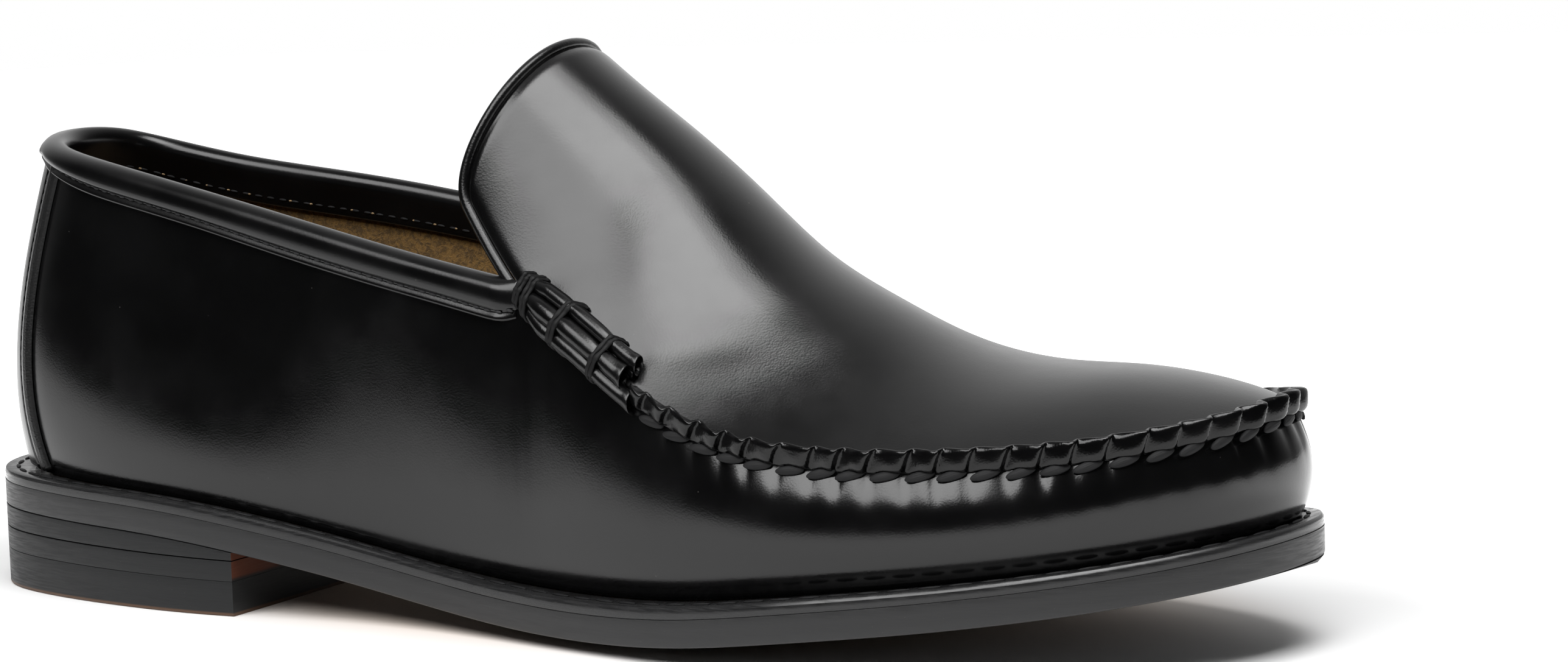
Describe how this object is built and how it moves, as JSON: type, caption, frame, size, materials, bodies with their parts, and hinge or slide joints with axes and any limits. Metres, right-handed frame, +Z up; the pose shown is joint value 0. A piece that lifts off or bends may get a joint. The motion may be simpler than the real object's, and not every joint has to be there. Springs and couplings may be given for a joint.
{
  "type": "venetian loafer",
  "caption": "Black polished slip-on shoe with a raised pleated apron seam, a high tongue, a bound collar, a welted leather sole and a low stacked heel, for the right foot.",
  "frame": {"origin": "middle of the shoe's bounding box, on the floor that it stands on", "axes": "+X from the heel to the toe, -Y to the outer side of the right foot, +Z up"},
  "size_m": [0.3, 0.0986, 0.1171],
  "materials": {
    "black_leather": "high-shine polished black calf leather",
    "sole_edge": "satin black inked leather edge with fine horizontal grain",
    "heel_rubber": "matt black inked heel top piece",
    "tan_lining": "matt tan lining leather"
  },
  "bodies": {
    "root": {"outsole": "sole_edge", "heel_top_piece": "heel_rubber", "heel_lower_lift": "sole_edge", "heel_upper_lift": "sole_edge", "welt": "sole_edge", "insole": "tan_lining", "upper": "black_leather", "collar_binding": "black_leather", "heel_counter": "black_leather", "apron_seam": "black_leather", "side_roll_outer": "black_leather", "side_roll_inner": "black_leather", "tongue_piping": "black_leather"}
  },
  "joints": []
}
